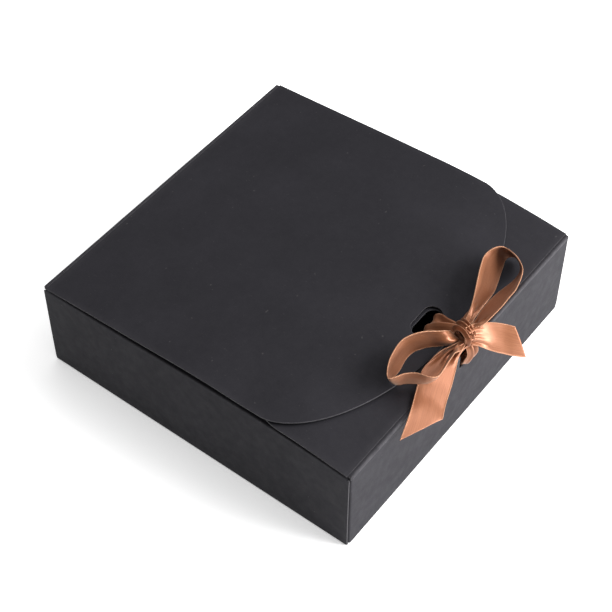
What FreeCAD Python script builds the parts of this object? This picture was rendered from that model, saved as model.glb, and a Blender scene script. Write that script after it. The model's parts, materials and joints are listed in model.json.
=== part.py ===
import FreeCAD, Part
import math
import os
from FreeCAD import Vector

# Folding gift box of creased card, closed by a satin ribbon tied in a bow over its front edge.
# Millimetres. +X runs right along the front edge, +Y from front to back, +Z up.
# The origin is the middle of the base's underside.

# Box
WIDTH = 165.0                # outside, left wall to right wall
DEPTH = 165.0                # outside, front wall to back wall
HEIGHT = 49.0                # from the floor to the front and back top creases
CARD = 0.7                   # thickness of the card
FOLD_INSIDE = 0.4            # inside radius of a fold
LAYER_GAP = 0.15             # air between two layers of card in a side wall
EDGE_GAP = 0.5               # between a panel's free edge and the panel it stands beside
CREASE_GAP = 0.15            # between a hinged panel's edge and the crease it turns about

# Side walls
CORNER_TAB = 42.0            # length of a corner tab, from the front or back face
TAB_CHAMFER = 8.0            # cut off a corner tab's free corners
SIDE_DROP = 0.3              # side wall's top below the underside of the lid's edge
SPINE_ROUND = 0.45           # rounding of the folds along a side wall's top
LOCK_TAB = 28.0              # length of a lock tab under an inner wall
LOCK_SPACING = 84.0          # between the two lock tabs of a wall
LOCK_CLEARANCE = 0.2         # around a lock tab in its slot
LOCK_INSET = 0.1             # lock tab's end above the floor

# Lid, hinged along the top of the back wall
LID_SIDE_GAP = 0.3           # lid's side edge inside the box's side
LID_BOW = 5.25               # lid's height above its crease, where it starts to bend down
LID_BEND_SETBACK = 70.8      # that place behind the front face
LID_SETBACK = 8.0            # lid's front tip behind the front face
LID_TIP_GAP = 0.5            # air between the lid's tip and the flap
TONGUE = 38.5                # depth of the lid's rounded front end
BEND_SPARE = 1.2             # bent sheets are this much longer than needed, then cut to outline

# Front flap, hinged along the top of the front wall, under the lid
FLAP_LENGTH = 60.0
FLAP_SIDE_GAP = 0.5
FLAP_CORNER = 18.0           # radius of the flap's free corners
FLAP_RISE = 7.0              # degrees
FLAP_BEND_RADIUS = 529.0

# Ribbon slots
SLOT_CLEARANCE = 1.5         # beside each edge of the ribbon in the slots of the lid and flap
SLOT_WIDTH = 9.0             # along Y
SLOT_SETBACK = 20.5          # lid slot's middle behind the front face
FLAP_SLOT_SHIFT = 0.8        # flap's slot nearer to the front than the lid's
NOTCH_CLEARANCE = 1.0        # beside each edge of the ribbon in the front slot, across the crease
NOTCH_DROP = 8.5             # down the front wall
NOTCH_REACH = 5.5            # onto the flap
NOTCH_CORNER = 1.5

# Ribbon
RIBBON_WIDTH = 15.0
RIBBON = 0.5                 # thickness of its solids
FOLD_OVER = 5.0              # width folded under at its left edge, where it enters the front slot
GATHER_WIDTH = 6.0           # ribbon drawn together where it leaves the knot
GATHER_LENGTH = 12.0         # over which it spreads to its whole width
KNOT = Vector(10.0, 9.0, 9.0)
KNOT_ROUND = 2.5
KNOT_SHIFT = 1.8             # to the right of the box's middle
KNOT_SETBACK = 3.3           # knot's middle behind the front face
KNOT_LIFT = 0.8              # knot's underside above the top of the lid's tip
LOOP_LIFT = 1.6              # loop's lower edge above the top of the lid beside its slot
LOOP_ROOT = 2.2              # radius of a loop at the knot
LOOP_START = 5.0             # from the knot's middle to the middle of that radius
LEFT_LOOP_LENGTH = 45.5
LEFT_LOOP_RADIUS = 9.0
LEFT_LOOP_TURN = 170.0       # degrees from +X, about +Z
RIGHT_LOOP_LENGTH = 48.5
RIGHT_LOOP_RADIUS = 7.5
RIGHT_LOOP_TURN = 8.5
TAIL_EDGE = 7.5              # from the middle of a tail's root to its edge beside the box
LEFT_TAIL_START = Vector(-4.0, -3.5, -3.4)      # from the knot's middle
LEFT_TAIL_END = Vector(-48.0, -16.3, -13.4)
LEFT_TAIL_ACROSS = Vector(0.31, -0.91, -0.27)
LEFT_TAIL_CUT = -8.0         # outer edge's end beyond the middle's
RIGHT_TAIL_START = Vector(1.5, -3.3, -1.4)
RIGHT_TAIL_END = Vector(17.2, -18.8, -10.4)
RIGHT_TAIL_ACROSS = Vector(-0.70, -0.32, -0.64)
RIGHT_TAIL_CUT = 3.8
STRAP_STANDOFF = 0.65        # front strap clear of the front wall
STRAP_RISE = 1.1             # front strap above the front slot's lower edge
STRAP_ENTRY = 2.9            # front strap's inner end behind the front face
STRAP_FREE = 0.6             # between the ribbon's parts that come apart
STRAP_UNDER = 0.1            # ribbon below the flap that it is drawn up against
KNOT_FLOOR = 1.0             # straps' height above the knot's underside where they leave it
LID_STRAP_RISE = 0.9         # lid strap above the lid where it enters the slot
LID_STRAP_EDGE = 2.2         # lid strap behind the front edge of the lid's slot

# Sizes and places that follow from those above
FOLD_OUTSIDE = FOLD_INSIDE + CARD
HALF_W = WIDTH / 2
HALF_D = DEPTH / 2
MID_CARD = CARD / 2
CREASE_Y = HALF_D - MID_CARD
CREASE_Z = HEIGHT - MID_CARD
WALL_TOP = HEIGHT - CARD
SIDE_TOP = HEIGHT - CARD - SIDE_DROP
SIDE_UNDER = SIDE_TOP - CARD
SPINE_WIDTH = 3 * CARD + 2 * LAYER_GAP
TAB_X = HALF_W - CARD - LAYER_GAP
INNER_X = HALF_W - 2 * CARD - 2 * LAYER_GAP
SLOT_LENGTH = RIBBON_WIDTH + 2 * SLOT_CLEARANCE
SLOT_Y = -HALF_D + SLOT_SETBACK
FLAP_SLOT_Y = SLOT_Y - FLAP_SLOT_SHIFT
NOTCH_WIDTH = RIBBON_WIDTH + 2 * NOTCH_CLEARANCE


def bowed_top(rise, straight, radius, distance):
    """Height of a bowed panel's upper face at a distance from its crease, along Y."""
    bend_y = straight * math.cos(rise)
    if distance <= bend_y:
        return CREASE_Z + MID_CARD / math.cos(rise) + distance * math.tan(rise)
    centre_y = bend_y + radius * math.sin(rise)
    centre_z = CREASE_Z + straight * math.sin(rise) - radius * math.cos(rise)
    return centre_z + math.sqrt((radius + MID_CARD) ** 2 - (distance - centre_y) ** 2)


def flap_top(y):
    return bowed_top(math.radians(FLAP_RISE), CARD, FLAP_BEND_RADIUS, y + CREASE_Y)


def flap_under(y):
    return flap_top(y) - CARD


LID_RUN = CREASE_Y + HALF_D - LID_BEND_SETBACK
LID_RISE = math.atan2(LID_BOW, LID_RUN)
LID_STRAIGHT = math.hypot(LID_BOW, LID_RUN)
LID_TIP_Y = -HALF_D + LID_SETBACK
LID_TIP_Z = flap_top(LID_TIP_Y) + LID_TIP_GAP + MID_CARD
LID_TIP_RUN = LID_BEND_SETBACK - LID_SETBACK
LID_TIP_DROP = CREASE_Z + LID_BOW - LID_TIP_Z
LID_HALF_BEND = LID_RISE + math.atan2(LID_TIP_DROP, LID_TIP_RUN)
LID_BEND_RADIUS = math.hypot(LID_TIP_RUN, LID_TIP_DROP) / (2 * math.sin(LID_HALF_BEND))


def lid_top(y):
    return bowed_top(LID_RISE, LID_STRAIGHT, LID_BEND_RADIUS, CREASE_Y - y)


KNOT_Z = LID_TIP_Z + MID_CARD + KNOT_LIFT + KNOT.z / 2
KNOT_AT = Vector(KNOT_SHIFT, -HALF_D + KNOT_SETBACK, KNOT_Z)
KNOT_LOW = KNOT_Z - KNOT.z / 2 + KNOT_FLOOR
STRAP_Y = SLOT_Y - SLOT_WIDTH / 2 + LID_STRAP_EDGE
STRAP_Z = lid_top(STRAP_Y)
STRAP_LOW_Z = HEIGHT - NOTCH_DROP + STRAP_RISE
LOOP_LOW = STRAP_Z + LOOP_LIFT


def box(x0, x1, y0, y1, z0, z1):
    return Part.makeBox(x1 - x0, y1 - y0, z1 - z0, Vector(x0, y0, z0))


def mirror_x(shape):
    return shape.mirror(Vector(0, 0, 0), Vector(1, 0, 0))


def mirror_y(shape):
    return shape.mirror(Vector(0, 0, 0), Vector(0, 1, 0))


def prism(points, direction):
    outline = Part.makePolygon(points + [points[0]])
    return Part.Face(outline).extrude(direction)


def fold_along_x(y, x0, x1):
    """Quarter-round fold joining the base to a wall whose outer face is at -y."""
    outer = Part.makeCylinder(FOLD_OUTSIDE, x1 - x0, Vector(x0, -y + FOLD_OUTSIDE, FOLD_OUTSIDE),
                              Vector(1, 0, 0))
    inner = Part.makeCylinder(FOLD_INSIDE, x1 - x0, Vector(x0, -y + FOLD_OUTSIDE, FOLD_OUTSIDE),
                              Vector(1, 0, 0))
    quarter = box(x0, x1, -y, -y + FOLD_OUTSIDE, 0, FOLD_OUTSIDE)
    return outer.cut(inner).common(quarter)


def base_panel():
    panel = box(-HALF_W + FOLD_OUTSIDE, HALF_W - FOLD_OUTSIDE, -HALF_D + FOLD_OUTSIDE,
                HALF_D - FOLD_OUTSIDE, 0, CARD)
    for side in (-1, 1):
        for place in (-LOCK_SPACING / 2, LOCK_SPACING / 2):
            x_near = side * INNER_X + LOCK_CLEARANCE * side
            x_far = side * (INNER_X - CARD - LOCK_CLEARANCE)
            half = LOCK_TAB / 2 + LOCK_CLEARANCE
            slot = box(min(x_near, x_far), max(x_near, x_far), place - half, place + half, 0, CARD)
            panel = panel.cut(slot)
    return panel


def front_panel():
    """Front or back wall before its slot: one layer, with its fold into the base."""
    half = TAB_X - FOLD_OUTSIDE
    wall = box(-half, half, -HALF_D, -HALF_D + CARD, FOLD_OUTSIDE, WALL_TOP)
    return wall.fuse(fold_along_x(HALF_D, -half, half)).removeSplitter()


def notch_on_flap():
    """Upright prism on the plan of the front slot, where it crosses the crease onto the flap."""
    deep = 2 * HEIGHT
    tool = box(-NOTCH_WIDTH / 2, NOTCH_WIDTH / 2, -HALF_D - CARD, -HALF_D + NOTCH_REACH, 0, deep)
    ends = [e for e in tool.Edges
            if abs(e.Length - deep) < 1e-6 and e.CenterOfMass.y > -HALF_D]
    return tool.makeFillet(NOTCH_CORNER, ends)


def front_wall():
    drop = box(-NOTCH_WIDTH / 2, NOTCH_WIDTH / 2, -HALF_D - CARD, -HALF_D + 2 * CARD,
               HEIGHT - NOTCH_DROP, HEIGHT)
    ends = [e for e in drop.Edges
            if abs(e.Length - 3 * CARD) < 1e-6 and e.CenterOfMass.z < HEIGHT - CARD]
    return front_panel().cut(drop.makeFillet(NOTCH_CORNER, ends))


def corner_tab():
    """Front left tab: turned back from the front wall's end into the left side wall."""
    corner = Vector(-TAB_X + FOLD_OUTSIDE, -HALF_D + FOLD_OUTSIDE, FOLD_OUTSIDE)
    top = SIDE_UNDER - LAYER_GAP
    height = top - FOLD_OUTSIDE
    ring = Part.makeCylinder(FOLD_OUTSIDE, height, corner).cut(
        Part.makeCylinder(FOLD_INSIDE, height, corner))
    quarter = box(-TAB_X, corner.x, -HALF_D, corner.y, FOLD_OUTSIDE, top)
    end = -HALF_D + CORNER_TAB
    outline = [
        Vector(-TAB_X, corner.y, FOLD_OUTSIDE),
        Vector(-TAB_X, end - TAB_CHAMFER, FOLD_OUTSIDE),
        Vector(-TAB_X, end, FOLD_OUTSIDE + TAB_CHAMFER),
        Vector(-TAB_X, end, top - TAB_CHAMFER),
        Vector(-TAB_X, end - TAB_CHAMFER, top),
        Vector(-TAB_X, corner.y, top),
    ]
    return ring.common(quarter).fuse(prism(outline, Vector(CARD, 0, 0))).removeSplitter()


def left_outer_wall():
    half = HALF_D - EDGE_GAP
    wall = box(-HALF_W, -HALF_W + CARD, -half, half, FOLD_OUTSIDE, SIDE_UNDER)
    turned = fold_along_x(HALF_W, -half, half)
    turned.rotate(Vector(0, 0, 0), Vector(0, 0, 1), -90)
    return wall.fuse(turned).removeSplitter()


def left_wall_spine():
    half = HALF_D - CARD - EDGE_GAP
    strip = box(-HALF_W, -HALF_W + SPINE_WIDTH, -half, half, SIDE_UNDER, SIDE_TOP)
    folds = [e for e in strip.Edges
             if abs(e.Length - 2 * half) < 1e-6 and e.CenterOfMass.z > SIDE_TOP - MID_CARD]
    return strip.makeFillet(SPINE_ROUND, folds)


def left_inner_wall():
    half = HALF_D - CARD - EDGE_GAP
    wall = box(-INNER_X, -INNER_X + CARD, -half, half, CARD, SIDE_UNDER)
    for place in (-LOCK_SPACING / 2, LOCK_SPACING / 2):
        tab = box(-INNER_X, -INNER_X + CARD, place - LOCK_TAB / 2, place + LOCK_TAB / 2,
                  LOCK_INSET, CARD)
        wall = wall.fuse(tab)
    return wall.removeSplitter()


def crease(x0, x1):
    """Scored fold along the top of the front wall: a thin round strip on the hinge axis."""
    return Part.makeCylinder(MID_CARD, x1 - x0, Vector(x0, -CREASE_Y, CREASE_Z), Vector(1, 0, 0))


def bowed_panel(rise, straight, radius, bend, half):
    """Sheet that leaves the front crease at the angle rise, towards +Y, and then bends down."""
    def offset(centre, angle, distance):
        return Vector(-half, centre.y - distance * math.sin(angle),
                      centre.z + distance * math.cos(angle))

    def along(centre, angle, distance):
        return Vector(-half, centre.y + distance * math.cos(angle),
                      centre.z + distance * math.sin(angle))

    pivot = Vector(-half, -CREASE_Y, CREASE_Z)
    start = along(pivot, rise, MID_CARD + CREASE_GAP)
    bend_start = along(pivot, rise, straight)
    centre = offset(bend_start, rise, -radius)
    edges = []
    ends = []
    for side in (MID_CARD, -MID_CARD):
        first = offset(start, rise, side)
        arc = [offset(centre, rise - bend * share, radius + side) for share in (0, 0.5, 1)]
        edges.append(Part.makeLine(first, arc[0]))
        edges.append(Part.Arc(*arc).toShape())
        ends.append((first, arc[2]))
    edges.append(Part.makeLine(ends[0][0], ends[1][0]))
    edges.append(Part.makeLine(ends[0][1], ends[1][1]))
    outline = Part.Wire(Part.__sortEdges__(edges))
    return Part.Face(outline).extrude(Vector(2 * half, 0, 0))


def stadium(y):
    """Ribbon slot's plan, a long hole with round ends, as an upright prism."""
    flat = SLOT_LENGTH - SLOT_WIDTH
    deep = HEIGHT / 2
    tool = box(-flat / 2, flat / 2, y - SLOT_WIDTH / 2, y + SLOT_WIDTH / 2, deep, 3 * deep)
    for x in (-flat / 2, flat / 2):
        tool = tool.fuse(Part.makeCylinder(SLOT_WIDTH / 2, 2 * deep, Vector(x, y, deep)))
    return tool.removeSplitter()


def lid_panel():
    half = HALF_W - LID_SIDE_GAP
    bend = 2 * LID_HALF_BEND * BEND_SPARE
    sheet = mirror_y(bowed_panel(LID_RISE, LID_STRAIGHT, LID_BEND_RADIUS, bend, half))
    tongue_y = LID_TIP_Y + TONGUE
    ellipse = Part.Ellipse(Vector(0, tongue_y, 0), half, TONGUE)
    front = ellipse.toShape(math.pi, 2 * math.pi)
    outline = Part.Wire([
        front,
        Part.makeLine(Vector(half, tongue_y, 0), Vector(half, HALF_D, 0)),
        Part.makeLine(Vector(half, HALF_D, 0), Vector(-half, HALF_D, 0)),
        Part.makeLine(Vector(-half, HALF_D, 0), Vector(-half, tongue_y, 0)),
    ])
    plan = Part.Face(outline).extrude(Vector(0, 0, 2 * HEIGHT))
    return sheet.common(plan).cut(stadium(SLOT_Y))


def front_flap():
    half = HALF_W - FLAP_SIDE_GAP
    bend = FLAP_LENGTH / FLAP_BEND_RADIUS * BEND_SPARE
    sheet = bowed_panel(math.radians(FLAP_RISE), CARD, FLAP_BEND_RADIUS, bend, half)
    plan = box(-half, half, -HALF_D, -HALF_D + FLAP_LENGTH, 0, 2 * HEIGHT)
    corners = [e for e in plan.Edges
               if abs(e.Length - 2 * HEIGHT) < 1e-6 and e.CenterOfMass.y > -HALF_D + MID_CARD]
    plan = plan.makeFillet(FLAP_CORNER, corners)
    return sheet.common(plan).cut(stadium(FLAP_SLOT_Y)).cut(notch_on_flap())


def knot():
    low = KNOT_AT - KNOT * 0.5
    high = KNOT_AT + KNOT * 0.5
    block = box(low.x, high.x, low.y, high.y, low.z, high.z)
    return block.makeFillet(KNOT_ROUND, block.Edges)


def drop_prism(start, root, end, tip, low, high):
    """Upright prism on the outline that wraps two circles on the X axis."""
    lean = math.acos((root - tip) / (end - start))
    c = math.cos(lean)
    s = math.sin(lean)
    outline = Part.Wire([
        Part.makeLine(Vector(start + root * c, root * s, low), Vector(end + tip * c, tip * s, low)),
        Part.Arc(Vector(end + tip * c, tip * s, low), Vector(end + tip, 0, low),
                 Vector(end + tip * c, -tip * s, low)).toShape(),
        Part.makeLine(Vector(end + tip * c, -tip * s, low), Vector(start + root * c, -root * s, low)),
        Part.Arc(Vector(start + root * c, -root * s, low), Vector(start - root, 0, low),
                 Vector(start + root * c, root * s, low)).toShape(),
    ])
    return Part.Face(outline).extrude(Vector(0, 0, high - low))


def loop(length, radius, turn):
    """One loop of the bow: a drop-shaped band that stands on edge beside the knot."""
    low = LOOP_LOW
    high = low + RIBBON_WIDTH
    half = RIBBON / 2
    end = length - radius
    outer = drop_prism(LOOP_START, LOOP_ROOT + half, end, radius + half, low, high)
    inner = drop_prism(LOOP_START, LOOP_ROOT - half, end, radius - half, low, high)
    band = outer.cut(inner)
    band.rotate(Vector(0, 0, 0), Vector(0, 0, 1), turn)
    band.translate(Vector(KNOT_AT.x, KNOT_AT.y, 0))
    return band.cut(knot())


def tail(start, end, across, cut):
    """One free end of the ribbon: gathered at the knot, then flat, and cut off at a slant."""
    root = KNOT_AT + start
    run = end - start
    forward = Vector(run.x, run.y, run.z).normalize()
    side = across - forward * across.dot(forward)
    side.normalize()
    up = forward.cross(side)
    lift = up * (RIBBON / 2)
    gather = side * (GATHER_WIDTH / 2)
    inner = side * -TAIL_EDGE
    outer = side * (RIBBON_WIDTH - TAIL_EDGE)
    spread = forward * GATHER_LENGTH
    slant = forward * cut
    outline = [
        root - gather - lift,
        root + gather - lift,
        root + spread + outer - lift,
        root + run + slant + outer - lift,
        root + run - slant + inner - lift,
        root + spread + inner - lift,
    ]
    return prism(outline, up * RIBBON).cut(knot())


def strip(points, middle, width):
    """Band of ribbon, its width along X about middle, that follows points given as (y, z)."""
    half = RIBBON / 2
    count = len(points)
    normals = []
    for (y0, z0), (y1, z1) in zip(points, points[1:]):
        size = math.hypot(y1 - y0, z1 - z0)
        normals.append(((z0 - z1) / size, (y1 - y0) / size))
    left = []
    right = []
    for i in range(count):
        before = normals[max(i - 1, 0)]
        after = normals[min(i, count - 2)]
        dot = before[0] * after[0] + before[1] * after[1]
        ny = (before[0] + after[0]) / (1 + dot) * half
        nz = (before[1] + after[1]) / (1 + dot) * half
        left.append((points[i][0] + ny, points[i][1] + nz))
        right.append((points[i][0] - ny, points[i][1] - nz))
    x = middle - width / 2
    outline = [Vector(x, y, z) for y, z in left + right[::-1]]
    return prism(outline, Vector(width, 0, 0))


def lid_strap():
    """From the knot back to the lid's slot, and down through it."""
    return strip([
        (KNOT_AT.y + RIBBON, KNOT_LOW),
        (STRAP_Y - LID_STRAP_RISE, STRAP_Z + LID_STRAP_RISE),
        (STRAP_Y, STRAP_Z),
        (STRAP_Y, flap_under(STRAP_Y) + MID_CARD),
    ], 0, RIBBON_WIDTH).cut(knot())


def front_strap():
    """From the knot down the front wall, and in through the front slot."""
    outside = -HALF_D - STRAP_STANDOFF - RIBBON / 2
    return strip([
        (KNOT_AT.y - RIBBON, KNOT_LOW),
        (outside, HEIGHT),
        (outside, STRAP_LOW_Z + STRAP_STANDOFF),
        (-HALF_D + STRAP_ENTRY, STRAP_LOW_Z),
    ], FOLD_OVER / 2, RIBBON_WIDTH - FOLD_OVER).cut(knot())


def under_strap():
    """From the front slot back under the flap, to below the flap's slot."""
    drop = STRAP_UNDER + RIBBON / 2
    notch_end = -HALF_D + NOTCH_REACH
    slot_end = FLAP_SLOT_Y - SLOT_WIDTH / 2
    return strip([
        (-HALF_D + STRAP_ENTRY + STRAP_FREE, STRAP_LOW_Z),
        (notch_end + RIBBON, flap_under(notch_end + RIBBON) - drop),
        (slot_end, flap_under(slot_end) - drop),
        (STRAP_Y, flap_under(STRAP_Y) - drop),
    ], 0, RIBBON_WIDTH)


def parts():
    left_side = {
        "left_outer_wall": left_outer_wall(),
        "left_wall_spine": left_wall_spine(),
        "left_inner_wall": left_inner_wall(),
    }
    tab = corner_tab()
    half = TAB_X - FOLD_OUTSIDE
    made = {
        "base_panel": base_panel(),
        "front_wall": front_wall(),
        "back_wall": mirror_y(front_panel()),
        "front_left_corner_tab": tab,
        "front_right_corner_tab": mirror_x(tab),
        "back_left_corner_tab": mirror_y(tab),
        "back_right_corner_tab": mirror_x(mirror_y(tab)),
        "lid_crease": mirror_y(crease(-half, half)),
        "flap_crease": Part.makeCompound([
            crease(-half, -NOTCH_WIDTH / 2),
            crease(NOTCH_WIDTH / 2, half),
        ]),
        "lid_panel": lid_panel(),
        "front_flap": front_flap(),
        "ribbon_knot": knot(),
        "ribbon_left_loop": loop(LEFT_LOOP_LENGTH, LEFT_LOOP_RADIUS, LEFT_LOOP_TURN),
        "ribbon_right_loop": loop(RIGHT_LOOP_LENGTH, RIGHT_LOOP_RADIUS, RIGHT_LOOP_TURN),
        "ribbon_left_tail": tail(LEFT_TAIL_START, LEFT_TAIL_END, LEFT_TAIL_ACROSS, LEFT_TAIL_CUT),
        "ribbon_right_tail": tail(RIGHT_TAIL_START, RIGHT_TAIL_END, RIGHT_TAIL_ACROSS, RIGHT_TAIL_CUT),
        "ribbon_lid_strap": lid_strap(),
        "ribbon_front_strap": front_strap(),
        "ribbon_under_strap": under_strap(),
    }
    for name, shape in left_side.items():
        made[name] = shape
        made[name.replace("left", "right")] = mirror_x(shape)
    return made


os.makedirs("parts", exist_ok=True)
for node, shape in parts().items():
    shape.exportStep("parts/" + node + ".step")
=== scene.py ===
import json
import math

import bmesh
import bpy
import numpy as np
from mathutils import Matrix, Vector, noise
from mathutils.geometry import delaunay_2d_cdt


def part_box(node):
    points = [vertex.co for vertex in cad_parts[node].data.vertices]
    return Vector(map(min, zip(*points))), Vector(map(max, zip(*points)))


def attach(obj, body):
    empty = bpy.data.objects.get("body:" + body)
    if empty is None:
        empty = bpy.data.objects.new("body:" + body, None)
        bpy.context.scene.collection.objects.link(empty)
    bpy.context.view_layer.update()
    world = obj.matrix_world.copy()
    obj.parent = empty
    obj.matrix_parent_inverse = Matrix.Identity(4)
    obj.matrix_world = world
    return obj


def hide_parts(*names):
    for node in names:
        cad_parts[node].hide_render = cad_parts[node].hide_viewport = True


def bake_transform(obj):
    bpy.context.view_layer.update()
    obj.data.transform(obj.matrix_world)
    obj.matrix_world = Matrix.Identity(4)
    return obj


# A folding gift box of black card, tied with a copper satin ribbon.
# Lengths are in millimetres and are turned into metres as each mesh is made.
# +X runs right along the front edge, +Y from front to back, +Z up.

MM = 0.001
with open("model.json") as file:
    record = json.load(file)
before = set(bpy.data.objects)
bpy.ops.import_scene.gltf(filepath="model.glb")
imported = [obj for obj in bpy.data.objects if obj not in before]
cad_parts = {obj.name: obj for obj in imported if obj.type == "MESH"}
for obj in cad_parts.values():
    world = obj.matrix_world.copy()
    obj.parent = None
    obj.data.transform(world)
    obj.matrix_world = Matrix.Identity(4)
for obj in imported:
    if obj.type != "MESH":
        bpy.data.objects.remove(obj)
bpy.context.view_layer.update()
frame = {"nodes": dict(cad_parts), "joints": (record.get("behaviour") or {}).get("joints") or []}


def node_box(node):
    """Lowest and highest corner of a CAD node, in millimetres."""
    low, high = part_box(node)
    return np.array(low) / MM, np.array(high) / MM


def joint_line(name):
    """(y, z) of a hinge's axis, in millimetres."""
    joint = next(j for j in frame["joints"] if j["name"] == name)
    return joint["pos_m"][1] / MM, joint["pos_m"][2] / MM


# Box sizes, read from the frame
CREASE_Y, CREASE_Z = joint_line("lid_hinge")
CREASE_LOW, CREASE_HIGH = node_box("lid_crease")
CARD = CREASE_HIGH[2] - CREASE_LOW[2]
HEIGHT = CREASE_HIGH[2]
HALF_D = node_box("back_wall")[1][1]
HALF_W = node_box("right_outer_wall")[1][0]
WALL_END = node_box("back_wall")[1][0]
TAB_LOW, TAB_HIGH = node_box("back_right_corner_tab")
SPINE_LOW, SPINE_HIGH = node_box("right_wall_spine")
LOCK_TAB_FOOT = node_box("right_inner_wall")[0][2]
LID_LOW, LID_HIGH = node_box("lid_panel")
FLAP_HIGH = node_box("front_flap")[1]
KNOT_AT = sum(node_box("ribbon_knot")) / 2

# Card
MID = CARD / 2
EDGE_ROUND = 0.12            # rounding of a cut edge
EDGE_SUPPORT = 0.4           # second row of points inside a cut edge
EDGE_MARGIN = 0.9            # no grid point nearer to a cut edge
BEND_END = 0.3               # a fold's rows of points stop this short of a cut edge
OUTLINE_STEP = 2.5           # most between two points of a cut edge
WALL_STEP = 3.2              # spacing of a wall's grid points
PANEL_STEP = 3.0             # the same on the lid and the flap
FACETS = 6                   # round a fold
TOP_FACETS = 5               # round each of a side wall's two top folds
FOLD_RADIUS = TAB_LOW[2] - MID    # of the middle of the card, round a fold
CREASE_RADIUS = 0.5          # the same at the lid's and the flap's creases
CREASE_REACH = 1.4           # each side of a crease's axis that its own piece covers
FOLD_OVERHANG = 1.0          # how far a crease runs past the flat of its wall, each end
CREASE_BEAD = 0.16           # swelling of the card round a crease
CREASE_GRAIN = 0.02          # fine unevenness of a crease
CREASE_ROWS = 0.2            # spacing of the rows of points along a crease
WAVE = 0.16                  # unevenness of a card panel
WALL_BULGE = 0.45            # outward swell of a wall's middle
NOTCHED_BULGE = 0.7          # share of it on the front wall
WALL_SETTLE = 6.0            # height over which a wall's unevenness begins
PANEL_SETTLE = 12.0          # the same for the lid and the flap, away from their crease
PANEL_CALM = 0.3             # share of that which stays even beside the crease
WALL_LEAN = 1.6              # how far a side wall's free top edge gives inward
LEAN_SKEW = 1.6              # above 1, it gives most in front of its middle
LEAN_REACH = 8.0             # along a corner tab, over which it takes up that lean
LOCK_TAB = 28.0
LOCK_SPACING = 84.0
TAB_CHAMFER = 8.0

# Lid and flap
LID_BOW = 5.25               # above its crease's axis, where it starts to bend down
LID_BEND_SETBACK = 70.8      # that place behind the front face
LID_TIP_RISE = 2.13          # above the crease's axis
TONGUE = 38.5
TONGUE_CORNER = 3.5          # degrees of its half-ellipse cut off where it meets each side
CORNER_DROP = 1.3            # sag of the lid's left edge, most at SAG_SETBACK
SAG_SETBACK = 9.0            # behind the start of the lid's rounded part
SAG_ACROSS = 30.0            # how far the sag spreads along X
SAG_ALONG = 18.0             # and along Y
FLAP_RISE = math.radians(7.0)
FLAP_BEND_RADIUS = 529.0
FLAP_CORNER = 24.0

# Ribbon slots
SLOT_LENGTH = 18.0
SLOT_WIDTH = 9.0
SLOT_SETBACK = 20.5
FLAP_SLOT_SHIFT = 0.8
NOTCH_SPAN = (-4.8, 8.4)     # along X, a little wider than the gathered ribbon
NOTCH_DROP = 8.5
NOTCH_REACH = 5.5
NOTCH_CORNER = 1.5

# Ribbon
RIBBON_WIDTH = 15.0
RIBBON = 0.26                # thickness
SELVEDGE = 0.55              # width of the woven edge
SELVEDGE_SWELL = 0.09        # how much thicker it is, each side
ROW = 0.7                    # spacing of the ribbon's points along its length
COLUMNS = 40                 # and how many lie across it
PLEATED_UNDER = 12.0         # a ribbon drawn narrower than this is pleated
PLEATS_FULL = 4.0            # and fully so when this much narrower still
RIPPLE_LENGTH = 11.0         # of its slow waves
SELVEDGE_SHARE = 2 * SELVEDGE / RIBBON_WIDTH

# Knot
KNOT_STATIONS = 19
KNOT_START = 205.0           # degrees round the knot
KNOT_STEP = 23.0             # degrees between two stations
KNOT_REACH = 3.6             # from its middle to the wrapped ribbon
KNOT_GROWTH = 0.03           # of that reach at each station
KNOT_HALF = 3.2              # half the width of the wrap
KNOT_UNEVEN = 0.6            # how much that half width varies

# Camera
CAMERA_AZIMUTH = -52.6
CAMERA_ELEVATION = 49.67
CAMERA_DISTANCE = 718.3
CAMERA_TARGET = Vector((-5.28, -1.82, 24.5))
CAMERA_LENS = 94.35          # on a 36 mm sensor

# Studio, in metres
FLOOR_HALF = 3.0
WORLD_LIGHT = 0.34
LIGHT_TARGET = (0.0, 0.0, 0.03)
LIGHTS = (                   # name, place, size and power in watts
    ("key", (0.55, -0.93, 0.80), (0.75, 0.75), 22.5),
    ("low_front", (0.38, -1.12, 0.14), (0.6, 0.22), 19.5),
    ("overhead", (0.25, 0.05, 1.50), (1.6, 1.6), 15.0),
)


# ---------------------------------------------------------------- materials

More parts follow.
